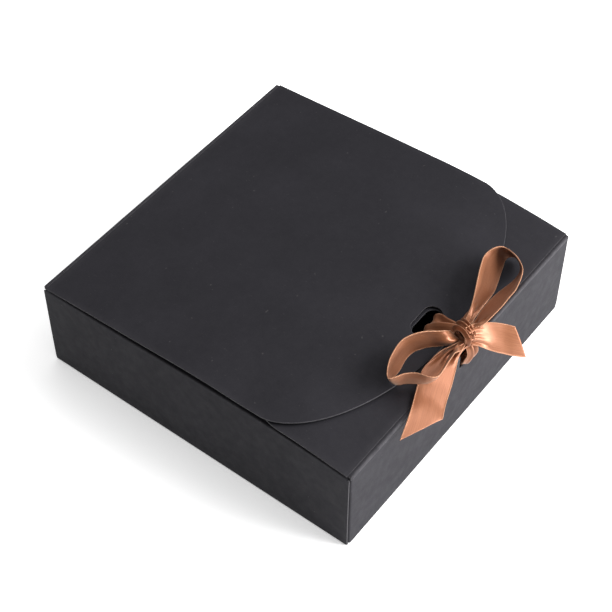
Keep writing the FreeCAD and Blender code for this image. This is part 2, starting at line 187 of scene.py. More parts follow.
class Nodes:
    """Shorthand for building a material's node tree."""

    def __init__(self, name):
        self.material = bpy.data.materials.new(name)
        self.material.use_nodes = True
        self.tree = self.material.node_tree
        self.shader = self.tree.nodes["Principled BSDF"]

    def new(self, kind, **values):
        node = self.tree.nodes.new(kind)
        for key, value in values.items():
            if key in node.inputs.keys():
                node.inputs[key].default_value = value
            else:
                setattr(node, key, value)
        return node

    def link(self, source, target):
        self.tree.links.new(source, target)

    def noise(self, vector, scale, detail=2.0, roughness=0.5):
        node = self.new("ShaderNodeTexNoise", Scale=scale, Detail=detail, Roughness=roughness)
        self.link(vector, node.inputs["Vector"])
        return node.outputs["Fac"]

    def stretched(self, vector, scale):
        node = self.new("ShaderNodeMapping", Scale=scale)
        self.link(vector, node.inputs["Vector"])
        return node.outputs["Vector"]

    def ramp(self, fac, stops):
        """Colour ramp from (place, colour) stops, each colour an RGB triple or a grey."""
        node = self.new("ShaderNodeValToRGB")
        self.link(fac, node.inputs["Fac"])
        elements = node.color_ramp.elements
        while len(elements) < len(stops):
            elements.new(0.5)
        for element, (place, colour) in zip(elements, stops):
            rgb = colour if isinstance(colour, tuple) else (colour,) * 3
            element.position = place
            element.color = (*rgb, 1.0)
        return node.outputs["Color"]

    def mix(self, fac, a, b, blend="MIX"):
        """Mix of two colours; fac, a and b are sockets or plain values."""
        node = self.new("ShaderNodeMix", data_type="RGBA", blend_type=blend)
        places = (node.inputs["Factor"], node.inputs[6], node.inputs[7])
        for socket, value in zip(places, (fac, a, b)):
            if isinstance(value, bpy.types.NodeSocket):
                self.link(value, socket)
            elif isinstance(value, tuple):
                socket.default_value = (*value, 1.0)
            else:
                socket.default_value = value
        return node.outputs[2]

    def maths(self, operation, a, b=0.0):
        node = self.new("ShaderNodeMath", operation=operation)
        for socket, value in zip(node.inputs, (a, b)):
            if isinstance(value, bpy.types.NodeSocket):
                self.link(value, socket)
            else:
                socket.default_value = value
        return node.outputs["Value"]

    def bump(self, height, distance, strength=1.0, normal=None):
        node = self.new("ShaderNodeBump", Strength=strength, Distance=distance)
        self.link(height, node.inputs["Height"])
        if normal is not None:
            self.link(normal, node.inputs["Normal"])
        return node.outputs["Normal"]

    def attribute(self, name):
        return self.new("ShaderNodeAttribute", attribute_name=name).outputs["Fac"]


CARD_DARK = (0.0122, 0.0115, 0.0145)
CARD_LIGHT = (0.0170, 0.0161, 0.0200)
CARD_WORN = (0.044, 0.042, 0.047)
CARD_SPECK = (0.050, 0.047, 0.049)


def card_material():
    """Matte black board: mottled pulp, sparse pale fibres, rubbed folds and edges."""
    n = Nodes("black_card")
    where = n.new("ShaderNodeTexCoord").outputs["Object"]
    cloud = n.noise(where, 34.0, 3.0, 0.6)
    pulp = n.noise(where, 1250.0, 4.0, 0.7)
    tone = n.maths("ADD", n.maths("MULTIPLY", cloud, 0.55), n.maths("MULTIPLY", pulp, 0.45))
    colour = n.ramp(tone, [(0.34, CARD_DARK), (0.66, CARD_LIGHT)])
    fibres = n.noise(n.stretched(where, (1.0, 0.22, 1.0)), 2300.0, 1.0, 0.4)
    fibre_fac = n.ramp(fibres, [(0.735, 0.0), (0.80, 0.35)])
    colour = n.mix(fibre_fac, colour, CARD_SPECK)
    specks = n.noise(where, 620.0, 0.0)
    speck_fac = n.ramp(specks, [(0.85, 0.0), (0.89, 0.6)])
    colour = n.mix(speck_fac, colour, CARD_SPECK)
    scuffs = n.noise(where, 420.0, 3.0, 0.65)
    wear = n.maths("MULTIPLY", n.attribute("wear"), n.ramp(scuffs, [(0.3, 0.35), (0.65, 1.0)]))
    colour = n.mix(wear, colour, CARD_WORN)
    n.link(colour, n.shader.inputs["Base Color"])
    rough = n.ramp(n.noise(where, 260.0, 3.0), [(0.3, 0.66), (0.7, 0.78)])
    n.link(rough, n.shader.inputs["Roughness"])
    n.shader.inputs["Specular IOR Level"].default_value = 0.16
    grain = n.bump(pulp, 0.00004, 0.8)
    n.link(n.bump(fibres, 0.00003, 0.6, grain), n.shader.inputs["Normal"])
    return n.material


def cut_edge_material():
    """The board's cut edge: paler grey pulp in thin layers."""
    n = Nodes("black_card_cut")
    where = n.new("ShaderNodeTexCoord").outputs["Object"]
    pulp = n.noise(where, 1700.0, 3.0, 0.7)
    layers = n.noise(n.stretched(where, (0.12, 0.12, 1.0)), 7000.0, 1.0)
    tone = n.mix(0.5, n.ramp(pulp, [(0.3, 0.0), (0.7, 1.0)]), n.ramp(layers, [(0.35, 0.0), (0.65, 1.0)]))
    colour = n.ramp(tone, [(0.2, (0.024, 0.023, 0.026)), (0.8, (0.055, 0.053, 0.058))])
    n.link(colour, n.shader.inputs["Base Color"])
    rough = n.ramp(pulp, [(0.3, 0.72), (0.7, 0.9)])
    n.link(rough, n.shader.inputs["Roughness"])
    n.shader.inputs["Specular IOR Level"].default_value = 0.3
    n.link(n.bump(pulp, 0.00006), n.shader.inputs["Normal"])
    return n.material


SATIN_DEEP = (0.185, 0.058, 0.022)
SATIN = (0.285, 0.112, 0.050)
# Paler colour of the ribbon's woven edge: a painted highlight.
SATIN_EDGE_HIGHLIGHT = (0.58, 0.31, 0.18)


def satin_material():
    """Copper satin: fine warp threads along the ribbon, and a corded edge painted paler in bands as a
    highlight.
    """
    n = Nodes("copper_satin")
    layout = n.new("ShaderNodeUVMap", uv_map="weave").outputs["UV"]
    warp = n.noise(n.stretched(layout, (9.0, 0.22, 1.0)), 1.0, 2.0, 0.6)
    slub = n.noise(n.stretched(layout, (2.2, 0.06, 1.0)), 1.0, 3.0, 0.55)
    picks = n.noise(n.stretched(layout, (0.4, 7.0, 1.0)), 1.0, 1.0, 0.5)
    tone = n.maths("ADD", n.maths("MULTIPLY", warp, 0.45), n.maths("MULTIPLY", slub, 0.55))
    colour = n.ramp(tone, [(0.32, SATIN_DEEP), (0.68, SATIN)])
    edge = n.attribute("selvedge")
    rib = n.new("ShaderNodeTexWave", wave_type="BANDS", bands_direction="Y", Scale=0.62,
                Distortion=1.2, Detail=1.0)
    n.link(layout, rib.inputs["Vector"])
    # Painted highlight: the woven edge is coloured paler, in bands along it.
    edge_highlight = n.ramp(rib.outputs["Fac"], [(0.25, SATIN_DEEP), (0.75, SATIN_EDGE_HIGHLIGHT)])
    n.link(n.mix(edge, colour, edge_highlight), n.shader.inputs["Base Color"])
    rough = n.maths("ADD", n.maths("MULTIPLY", slub, 0.16), n.maths("MULTIPLY", edge, 0.18))
    n.link(n.maths("ADD", rough, 0.32), n.shader.inputs["Roughness"])
    n.shader.inputs["Metallic"].default_value = 0.36
    n.shader.inputs["Specular IOR Level"].default_value = 0.5
    n.shader.inputs["Anisotropic"].default_value = 0.55
    n.shader.inputs["Sheen Weight"].default_value = 0.2
    n.shader.inputs["Sheen Roughness"].default_value = 0.4
    n.shader.inputs["Sheen Tint"].default_value = (1.0, 0.80, 0.66, 1.0)
    tangent = n.new("ShaderNodeTangent", direction_type="UV_MAP", uv_map="weave")
    n.link(tangent.outputs["Tangent"], n.shader.inputs["Tangent"])
    threads = n.bump(warp, 0.00003, 0.7)
    threads = n.bump(picks, 0.00001, 0.5, threads)
    corded = n.bump(n.maths("MULTIPLY", rib.outputs["Fac"], edge), 0.00012, 0.9, threads)
    n.link(corded, n.shader.inputs["Normal"])
    return n.material


def floor_material():
    """Pale seamless studio paper that glows a little: painted light that fills in the shadows on it and
    lights the box faintly from below.
    """
    n = Nodes("glowing_studio_paper")
    where = n.new("ShaderNodeTexCoord").outputs["Object"]
    tone = n.noise(where, 6.0, 2.0)
    n.link(n.ramp(tone, [(0.3, (0.94, 0.94, 0.94)), (0.7, (0.96, 0.96, 0.96))]),
           n.shader.inputs["Base Color"])
    n.shader.inputs["Roughness"].default_value = 0.9
    n.shader.inputs["Specular IOR Level"].default_value = 0.1
    # Glow of the floor: painted light that fills in the shadows cast on it.
    n.shader.inputs["Emission Color"].default_value = (1.0, 1.0, 1.0, 1.0)
    n.shader.inputs["Emission Strength"].default_value = 0.34
    return n.material


BLACK_CARD = card_material()
CUT_EDGE = cut_edge_material()
COPPER_SATIN = satin_material()


# ---------------------------------------------------------------- card sheets

def area_of(loop):
    """Area inside a closed loop, above 0 where it runs anticlockwise."""
    x, y = np.array(loop).T
    return 0.5 * float(np.sum(x * np.roll(y, -1) - np.roll(x, -1) * y))


def spaced(points, step):
    """Closed outline with points added so that none are further apart than step."""
    out = []
    for a, b in zip(points, points[1:] + points[:1]):
        a, b = np.array(a, float), np.array(b, float)
        count = max(1, math.ceil(np.linalg.norm(b - a) / step))
        out += [tuple(a + (b - a) * i / count) for i in range(count)]
    return out


def arc(centre, radii, start, end, count):
    """Points along an ellipse's arc, its angles in degrees."""
    angles = np.radians(np.linspace(start, end, count))
    return [(centre[0] + radii[0] * math.cos(a), centre[1] + radii[1] * math.sin(a)) for a in angles]


def inset(loop, distance):
    """Closed outline moved to its left by distance."""
    points = np.array(loop)
    ahead = np.roll(points, -1, 0) - points
    ahead /= np.linalg.norm(ahead, axis=1)[:, None]
    left = np.stack([-ahead[:, 1], ahead[:, 0]], 1)
    before = np.roll(left, 1, 0)
    lean = 1 + np.sum(left * before, 1)
    return points + (left + before) / np.maximum(lean, 0.4)[:, None] * distance


def inside(points, loops):
    """Which points lie inside the outline and outside its holes."""
    hit = np.zeros(len(points), bool)
    for loop in loops:
        a = np.array(loop)
        b = np.roll(a, -1, 0)
        for (x0, y0), (x1, y1) in zip(a, b):
            spans = (points[:, 1] < y0) != (points[:, 1] < y1)
            if spans.any():
                x = x0 + (points[:, 1] - y0) / (y1 - y0 if y1 != y0 else 1) * (x1 - x0)
                hit ^= spans & (points[:, 0] < x)
    return hit


def clearance(points, loops):
    """Distance from each point to the nearest edge of any loop."""
    best = np.full(len(points), 1e9)
    for loop in loops:
        a = np.array(loop)
        for p, q in zip(a, np.roll(a, -1, 0)):
            d = q - p
            t = np.clip((points - p) @ d / max(d @ d, 1e-12), 0, 1)
            best = np.minimum(best, np.linalg.norm(points - p - t[:, None] * d, axis=1))
    return best


def finish_mesh(name, points, faces, materials, body, attributes, kinds=None, uv=None):
    """Object from points in millimetres, smooth shaded, with its normals outward.

    kinds is each face's place in materials, where that isn't the first."""
    mesh = bpy.data.meshes.new(name)
    mesh.from_pydata([tuple(p) for p in np.array(points) * MM], [], faces)
    if kinds is not None:
        mesh.polygons.foreach_set("material_index", kinds)
    for key, values in attributes:
        mesh.attributes.new(key, "FLOAT", "POINT").data.foreach_set("value", values)
    if uv is not None:
        layer = mesh.uv_layers.new(name="weave")
        corners = np.zeros(len(mesh.loops), int)
        mesh.loops.foreach_get("vertex_index", corners)
        layer.data.foreach_set("uv", np.array(uv)[corners].astype(np.float32).ravel())
    for material in materials:
        mesh.materials.append(material)
    bm = bmesh.new()
    bm.from_mesh(mesh)
    bmesh.ops.recalc_face_normals(bm, faces=bm.faces)
    if uv is None:
        bmesh.ops.join_triangles(bm, faces=[f for f in bm.faces if len(f.verts) == 3], cmp_seam=False,
                                 cmp_sharp=False, cmp_uvs=False, cmp_vcols=False, cmp_materials=True,
                                 angle_face_threshold=0.2, angle_shape_threshold=0.7)
    bm.to_mesh(mesh)
    bm.free()
    mesh.polygons.foreach_set("use_smooth", [True] * len(mesh.polygons))
    mesh.update()
    piece = bpy.data.objects.new(name, mesh)
    bpy.context.scene.collection.objects.link(piece)
    if body is not None:
        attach(piece, body)
    return piece


def triangulated(loops, us, vs, bends):
    """Flat plan inside closed loops, in triangles that keep to the bends: its points, its faces,
    and which of its points each point of the loops, moved in by EDGE_ROUND, has become."""
    rims = [inset(l, EDGE_ROUND) for l in loops]
    supports = [inset(l, EDGE_SUPPORT) for l in loops] if not bends else []
    grid = np.array([(u, v) for u in us for v in vs], float).reshape(-1, 2)
    grid = grid[inside(grid, loops)]
    grid = grid[clearance(grid, loops) > EDGE_MARGIN]
    flat, edges = [], []
    for loop in rims + supports:
        first = len(flat)
        flat += [tuple(p) for p in loop]
        edges += [(first + i, first + (i + 1) % len(loop)) for i in range(len(loop))]
    for line in bends:
        edges += [(len(flat) + i, len(flat) + i + 1) for i in range(len(line) - 1)]
        flat += [tuple(p) for p in line]
    flat += [tuple(p) for p in grid]
    made = delaunay_2d_cdt([Vector(p) for p in flat], edges, [], 0, 1e-5, True)
    plan = np.array([tuple(p) for p in made[0]])
    faces = np.array([f for f in made[2] if len(f) == 3])
    faces = faces[inside(plan[faces].mean(1), rims)]
    became = {}
    for new, old in enumerate(made[3]):
        for o in old:
            became[o] = new
    return plan, faces, became


def card_sheet(name, body, outline, place, us, vs, holes, bends, wear, replaced):
    """Sheet of card with rounded cut edges.

    outline and holes are closed loops on the sheet's own flat plan (u, v), place(u, v, w) bends
    the plan into shape, with w the height above the middle of the card, and us and vs are the
    grid lines that carry the bend. bends are lines of plan points that run along tight folds, so
    that every facet of a fold follows it. wear(u, v) says how rubbed the surface is, 0 to 1."""
    loops = [list(outline)] + [list(h) for h in holes]
    loops = [l if (area_of(l) > 0) == (i == 0) else l[::-1] for i, l in enumerate(loops)]
    plan, triangles, became = triangulated(loops, us, vs, bends)
    count = len(plan)
    points = [place(u, v, MID) for u, v in plan] + [place(u, v, -MID) for u, v in plan]
    rubbed = [wear(u, v) for u, v in plan] * 2
    faces = [tuple(f) for f in triangles] + [tuple(f[::-1] + count) for f in triangles]
    kinds = [0] * len(faces)
    start = 0
    for loop in loops:
        first = len(points)
        size = len(loop)
        points += [place(u, v, MID - EDGE_ROUND) for u, v in loop]
        points += [place(u, v, -MID + EDGE_ROUND) for u, v in loop]
        rubbed += [1.0] * (2 * size)
        for i in range(size):
            j = (i + 1) % size
            top = (became[start + i], became[start + j])
            rows = [top, (first + i, first + j), (first + size + i, first + size + j),
                    (top[0] + count, top[1] + count)]
            for (a, b), (c, d) in zip(rows, rows[1:]):
                faces.append((b, a, c, d))
                kinds.append(1)
        start += size
    piece = finish_mesh(name, points, faces, [BLACK_CARD, CUT_EDGE], body, [("wear", rubbed)], kinds)
    if replaced:
        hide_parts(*replaced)
    return piece


def steps(low, high, spacing):
    """Even steps from low to high, none longer than spacing."""
    count = max(1, math.ceil((high - low) / spacing))
    return [low + (high - low) * i / count for i in range(count + 1)]


def clipped(share):
    return min(1.0, max(0.0, share))


def unevenness(u, v, seed, size=38.0):
    """Slow waves of a card panel, size being their length."""
    return WAVE * noise.noise(Vector((u / size, v / size, seed)))


# ---------------------------------------------------------------- walls

def folded(lengths, turns, radius, s):
    """Place and direction at s along a path of straight runs joined by arcs, starting at (0, 0)
    and heading along +x. lengths are the straight runs and turns the angles between them."""
    x, y, heading = 0.0, 0.0, 0.0
    for i, run in enumerate(lengths):
        if s <= run or i == len(lengths) - 1:
            return x + s * math.cos(heading), y + s * math.sin(heading), heading
        x += run * math.cos(heading)
        y += run * math.sin(heading)
        s -= run
        turn = turns[i]
        bend = abs(turn) * radius
        sign = math.copysign(1, turn)
        part = min(s, bend) / radius * sign
        cx = x - sign * radius * math.sin(heading)
        cy = y + sign * radius * math.cos(heading)
        x = cx + sign * radius * math.sin(heading + part)
        y = cy - sign * radius * math.cos(heading + part)
        heading += part
        if s <= bend:
            return x, y, heading
        s -= bend
    return x, y, heading


def swell(u, u_half, v, v_low, v_high):
    """Outward bulge of a wall, none at its ends and most in its middle."""
    a = max(0.0, 1 - (u / u_half) ** 2)
    b = max(0.0, math.sin(math.pi * clipped((v - v_low) / (v_high - v_low))))
    return WALL_BULGE * a * b


def across_line(v, half):
    """Points along a fold that crosses a panel, ending just inside its cut edges."""
    return [(u, v) for u in steps(-half + BEND_END, half - BEND_END, WALL_STEP)]


def lean(y, share):
    """How far a side wall gives inward at y, a share of the way up its height."""
    forward = clipped((HALF_D - y) / (2 * HALF_D))
    return WALL_LEAN * math.sin(math.pi * forward ** LEAN_SKEW) * clipped(share)


def near(value, places, reach):
    """1 at any of the places, and falling to 0 at reach from them."""
    return max(0.0, max(1 - abs(value - p) / reach for p in places))


WALL_TOP = CREASE_Z - CREASE_REACH
TAB_LENGTH = TAB_HIGH[1] - TAB_LOW[1]
TAB_TURN = FOLD_RADIUS * math.pi / 2


def end_panel(name, side, notched, replaced):
    """Front or back wall with the corner tabs folded back from its ends; side is -1 at the front."""
    fold = FOLD_RADIUS + MID
    tab_end = WALL_END + TAB_TURN + TAB_LENGTH - fold
    low = fold - TAB_TURN
    tab_top = TAB_HIGH[2]

    def place(u, v, w):
        across = abs(u)
        sign = math.copysign(1, u)
        if across <= WALL_END:
            x, inward, out_x, out_y = u, 0.0, 0.0, 1.0
        else:
            turn = min((across - WALL_END) / FOLD_RADIUS, math.pi / 2)
            straight = max(0.0, across - WALL_END - TAB_TURN)
            x = sign * (WALL_END + FOLD_RADIUS * math.sin(turn))
            inward = FOLD_RADIUS * (1 - math.cos(turn)) + straight
            out_x, out_y = sign * math.sin(turn), math.cos(turn)
        z, rise = v, 0.0
        if v < fold:
            turn = (fold - v) / FOLD_RADIUS
            z = fold - FOLD_RADIUS * math.sin(turn)
            inward += FOLD_RADIUS * (1 - math.cos(turn))
            rise = -math.sin(turn)
            out_y *= math.cos(turn)
        push = w + unevenness(u, v, 3.0 + side) * clipped((v - fold) / WALL_SETTLE)
        if across <= WALL_END:
            push += swell(u, WALL_END, v, fold, WALL_TOP) * (NOTCHED_BULGE if notched else 1.0)
        y = side * (HALF_D - MID - inward + out_y * push)
        if across > WALL_END:
            x -= sign * lean(y, z / HEIGHT) * clipped(inward / LEAN_REACH)
        return x + out_x * push, y, z + rise * push

    def wear(u, v):
        """Rubbed at the upright corners, the crease at the top and the fold at the bottom."""
        corner = near(abs(u), (WALL_END + 0.55 * TAB_TURN,), 0.9)
        return min(1.0, 0.12 * corner + 0.35 * near(v, (WALL_TOP,), 1.0) + 0.3 * near(v, (0.4,), 0.9))

    right = [(WALL_END, low), (WALL_END, fold), (tab_end - TAB_CHAMFER, fold),
             (tab_end, fold + TAB_CHAMFER), (tab_end, tab_top - TAB_CHAMFER),
             (tab_end - TAB_CHAMFER, tab_top), (WALL_END, tab_top), (WALL_END, WALL_TOP)]
    left = [(-u, v) for u, v in right[::-1]]
    notch = []
    if notched:
        first, last = NOTCH_SPAN
        centre = HEIGHT - NOTCH_DROP + NOTCH_CORNER
        radii = (NOTCH_CORNER,) * 2
        notch = ([(last, WALL_TOP)]
                 + arc((last - NOTCH_CORNER, centre), radii, 0, -90, 7)
                 + arc((first + NOTCH_CORNER, centre), radii, -90, -180, 7)
                 + [(first, WALL_TOP)])
    outline = spaced(right + notch + left, OUTLINE_STEP)
    corners = [WALL_END + TAB_TURN * i / FACETS for i in range(FACETS + 1)]
    us = steps(-WALL_END + 1, WALL_END - 1, WALL_STEP) + steps(corners[-1], tab_end, WALL_STEP) + corners
    us += [-u for u in us if u > WALL_END - 0.5]
    vs = steps(fold + 1, WALL_TOP, WALL_STEP)
    lines = [across_line(low + TAB_TURN * i / FACETS, WALL_END) for i in range(1, FACETS + 1)]
    upright = steps(fold + BEND_END, tab_top - BEND_END, WALL_STEP)
    for corner in corners:
        for sign in (-1, 1):
            lines.append([(sign * corner, v) for v in upright])
    card_sheet(name, "carton", outline, place, us, vs, (), lines, wear, replaced)


def side_panel(name, side, replaced):
    """Double side wall: up from the base, over the top, and down inside to its lock tabs."""
    fold = FOLD_RADIUS + MID
    top_radius = MID + 0.05
    outer_run = SPINE_HIGH[2] - MID - top_radius - fold
    top_run = SPINE_HIGH[0] - SPINE_LOW[0] - 2 * MID - 2 * top_radius
    top_turn = top_radius * math.pi / 2
    inner_start = outer_run + top_run + 2 * top_turn
    inner_end = inner_start + SPINE_HIGH[2] - MID - top_radius - CARD
    tab_end = inner_end + CARD - LOCK_TAB_FOOT
    outer_half = node_box("right_outer_wall")[1][1]
    inner_half = SPINE_HIGH[1]

    def place(u, v, w):
        if v < 0:
            turn = -v / FOLD_RADIUS
            inward = FOLD_RADIUS * (1 - math.cos(turn))
            z = fold - FOLD_RADIUS * math.sin(turn)
            out_x, out_z = math.cos(turn), -math.sin(turn)
        else:
            along, inward, heading = folded((outer_run, top_run, inner_end), (math.pi / 2,) * 2,
                                            top_radius, v)
            z = fold + along
            out_x, out_z = math.cos(heading), math.sin(heading)
        push = w + unevenness(u, v, 7.0 + side) * clipped(v / WALL_SETTLE)
        if v < outer_run:
            push += swell(u, outer_half, v, 0, outer_run + 1)
        x = HALF_W - MID - inward + out_x * push - lean(u, z / HEIGHT)
        return side * x, u, z + out_z * push

    def wear(_, v):
        """Rubbed along both top folds and the fold at the bottom."""
        folds = near(v, (outer_run + top_turn / 2, inner_start - top_turn / 2), 0.7)
        return min(1.0, 0.55 * folds + 0.3 * near(v, (-0.8,), 0.9))

    right = [(outer_half, -TAB_TURN), (outer_half, outer_run), (inner_half, outer_run),
             (inner_half, inner_end)]
    tabs = []
    for middle in (LOCK_SPACING / 2, -LOCK_SPACING / 2):
        tabs += [(middle + LOCK_TAB / 2, inner_end), (middle + LOCK_TAB / 2, tab_end),
                 (middle - LOCK_TAB / 2, tab_end), (middle - LOCK_TAB / 2, inner_end)]
    left = [(-u, v) for u, v in right[::-1]]
    outline = spaced(right + tabs + left, OUTLINE_STEP)
    us = steps(-outer_half + 1, outer_half - 1, WALL_STEP)
    vs = steps(2, outer_run - 1, WALL_STEP) + steps(inner_start + 1, tab_end, WALL_STEP)
    turned = [top_turn * i / TOP_FACETS for i in range(TOP_FACETS + 1)]
    lines = [across_line(-TAB_TURN * i / FACETS, outer_half) for i in range(FACETS)]
    lines += [across_line(outer_run + t, inner_half) for t in turned]
    lines += [across_line(inner_start - t, inner_half) for t in turned]
    card_sheet(name, "carton", outline, place, us, vs, (), lines, wear, replaced)


# ---------------------------------------------------------------- lid and flap

LID_RUN = CREASE_Y + HALF_D - LID_BEND_SETBACK
LID_TIP_Y = LID_LOW[1]
LID_REACH = CREASE_Y - LID_TIP_Y - LID_RUN
LID_SLOPE = LID_BOW / LID_RUN
LID_CURVE = 2 * (LID_BOW + LID_SLOPE * LID_REACH - LID_TIP_RISE) / LID_REACH ** 2


def corner_sag(x, y):
    """How far the lid's left edge has given just behind its rounded part."""
    across = (x + HALF_W) / SAG_ACROSS
    along = (y - LID_TIP_Y - TONGUE - SAG_SETBACK) / SAG_ALONG
    return CORNER_DROP * math.exp(-across ** 2 - along ** 2)


def off_crease(distance):
    """How far a hinged panel's unevenness has begun, 0 to 1, at a distance from its crease."""
    return clipped(distance / PANEL_SETTLE - PANEL_CALM)


def lid_height(x, y):
    """Middle of the lid's card above its crease's axis, and its slope along Y."""
    d = CREASE_Y - y
    past = max(0.0, d - LID_RUN)
    height = LID_SLOPE * d - LID_CURVE * past ** 2 / 2
    slope = LID_CURVE * past - LID_SLOPE
    height -= corner_sag(x, y)
    return height + off_crease(d) * unevenness(x, y, 11.0, 46.0), slope


def flap_height(x, y):
    """The same for the flap, which the lid's sagging edge presses down."""
    d = y + CREASE_Y
    height = d * math.tan(FLAP_RISE) - d * d / (2 * FLAP_BEND_RADIUS * math.cos(FLAP_RISE))
    slope = math.tan(FLAP_RISE) - d / FLAP_BEND_RADIUS
    height -= corner_sag(x, y)
    return height + 0.5 * off_crease(d) * unevenness(x, y, 15.0), slope


def bowed(height):
    """place() for a panel whose plan is (x, y) and whose height is a function of both."""
    def place(x, y, w):
        z, slope = height(x, y)
        size = math.hypot(1, slope)
        return x, y - w * slope / size, CREASE_Z + z + w / size
    return place


def stadium(y):
    """Outline of a ribbon slot with round ends."""
    flat = (SLOT_LENGTH - SLOT_WIDTH) / 2
    radii = (SLOT_WIDTH / 2,) * 2
    return arc((flat, y), radii, -90, 90, 17) + arc((-flat, y), radii, 90, 270, 17)


def lid():
    """Lid panel: straight sides, a half-elliptical tongue and a ribbon slot."""
    half = LID_HIGH[0]
    back = CREASE_Y - CREASE_REACH
    shoulder = LID_TIP_Y + TONGUE
    turn = math.radians(TONGUE_CORNER)
    outline = ([(half, back), (-half, back)]
               + arc((0, shoulder), (half / math.cos(turn), TONGUE), 180 + TONGUE_CORNER,
                     360 - TONGUE_CORNER, 115))
    outline = spaced(outline, OUTLINE_STEP)
    slot = stadium(-HALF_D + SLOT_SETBACK)

    def wear(x, y):
        """Rubbed along both sides and the crease."""
        side = near(abs(x), (half,), 0.6) * 0.5
        return min(1.0, side + 0.4 * near(y, (back,), 0.8))

    us = steps(-half, half, PANEL_STEP)
    vs = steps(LID_TIP_Y, back, PANEL_STEP)
    card_sheet("lid", "lid", outline, bowed(lid_height), us, vs, [slot], (), wear, ["lid_panel"])


def flap():
    """Front flap: rounded back corners, a ribbon slot and its part of the notch."""
    half = FLAP_HIGH[0]
    front = -CREASE_Y + CREASE_REACH
    back = FLAP_HIGH[1]
    first, last = NOTCH_SPAN
    notch_end = -HALF_D + NOTCH_REACH
    radii = (NOTCH_CORNER,) * 2
    outline = ([(half, front)]
               + arc((half - FLAP_CORNER, back - FLAP_CORNER), (FLAP_CORNER,) * 2, 0, 90, 16)
               + arc((-half + FLAP_CORNER, back - FLAP_CORNER), (FLAP_CORNER,) * 2, 90, 180, 16)
               + [(-half, front), (first, front)]
               + arc((first + NOTCH_CORNER, notch_end - NOTCH_CORNER), radii, 180, 90, 7)
               + arc((last - NOTCH_CORNER, notch_end - NOTCH_CORNER), radii, 90, 0, 7)
               + [(last, front)])
    outline = spaced(outline, OUTLINE_STEP)
    slot = stadium(-HALF_D + SLOT_SETBACK - FLAP_SLOT_SHIFT)

    def wear(x, y):
        """Rubbed along the crease and both sides."""
        return 0.4 * near(y, (front,), 0.8) + 0.4 * near(abs(x), (half,), 0.6)

    us = steps(-half, half, PANEL_STEP)
    vs = steps(front, back, PANEL_STEP)
    card_sheet("flap", "front_flap", outline, bowed(flap_height), us, vs, [slot], (), wear,
               ["front_flap"])


def crease(name, side, rise, spans, replaced):
    """Rounded fold between an end wall and the panel hinged on it.

    spans are its stretches along X, each a pair of ends; side is -1 at the front."""
    straight = CREASE_REACH - CREASE_RADIUS * math.tan((math.pi / 2 - rise) / 2)
    turn = math.pi / 2 - rise
    length = 2 * straight + turn * CREASE_RADIUS

    def place(u, v, w):
        up, inward, heading = folded((straight, straight), (turn,), CREASE_RADIUS, v)
        bead = CREASE_BEAD * math.sin(math.pi * clipped(v / length)) ** 2 if w > 0 else 0.0
        push = w + bead + CREASE_GRAIN * noise.noise(Vector((u / 6, v, 0.5)))
        y = CREASE_Y - inward + math.cos(heading) * push
        return u, side * y, WALL_TOP + up + math.sin(heading) * push

    def wear(_, v):
        """Rubbed all over, and most along its outermost line."""
        return 0.25 + 0.6 * near(v, (length * 0.45,), length * 0.45)

    for index, (low, high) in enumerate(spans):
        outline = spaced([(low, 0), (high, 0), (high, length), (low, length)], OUTLINE_STEP)
        rows = [[(u, v) for u in steps(low + BEND_END, high - BEND_END, WALL_STEP)]
                for v in steps(BEND_END, length - BEND_END, CREASE_ROWS)]
        piece = card_sheet(name + ("", "_right")[index], None, outline, place, [], [], (), rows, wear,
                           replaced if index == 0 else ())
        ends = [Vector(place(0, v, 0)) * MM for v in (0, length)]
        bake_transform(piece)


# ---------------------------------------------------------------- ribbon

def curve_through(points, per_span=14):
    """Smooth line through points, as a dense array."""
    p = np.array(points, float)
    first, last = 2 * p[0] - p[1], 2 * p[-1] - p[-2]
    p = np.vstack([first, p, last])
    out = []
    for i in range(1, len(p) - 2):
        p0, p1, p2, p3 = p[i - 1:i + 3]
        for s in np.linspace(0, 1, per_span, endpoint=False):
            out.append(0.5 * (2 * p1 + (p2 - p0) * s + (2 * p0 - 5 * p1 + 4 * p2 - p3) * s ** 2
                              + (3 * p1 - p0 - 3 * p2 + p3) * s ** 3))
    out.append(p[-2])
    return np.array(out)


def fold_height(width, waves, phase, u, deepest):
    """Pleats across a gathered ribbon, as deep as its spare width makes them, up to deepest."""
    wave = np.arcsin(0.94 * np.cos(math.pi * waves * (u + 1) + phase)) / 1.22
    wave = wave + 0.3 * np.cos(1.7 * math.pi * waves * u - phase)
    flat = u * width / 2
    low, high = 0.0, deepest
    for _ in range(14):
        depth = (low + high) / 2
        length = np.sum(np.hypot(np.diff(flat), np.diff(wave * depth)))
        if length < RIBBON_WIDTH:
            low = depth
        else:
            high = depth
    return wave * low


def unit(vectors):
    """Vectors scaled to a length of 1."""
    return vectors / np.maximum(np.linalg.norm(vectors, axis=-1), 1e-9)[..., None]


def sampled(line, along, where):
    """A dense line's points at given lengths, along being the length at each point it has."""
    return np.stack([np.interp(where, along, column) for column in line.T], -1)


def ribbon_columns():
    """Places across a ribbon, from -1 at one edge to 1 at the other, closer in its selvedges."""
    return np.concatenate([[-1, -1 + SELVEDGE_SHARE * 0.5, -1 + SELVEDGE_SHARE],
                           np.linspace(-1 + SELVEDGE_SHARE, 1 - SELVEDGE_SHARE, COLUMNS)[1:-1],
                           [1 - SELVEDGE_SHARE, 1 - SELVEDGE_SHARE * 0.5, 1]])


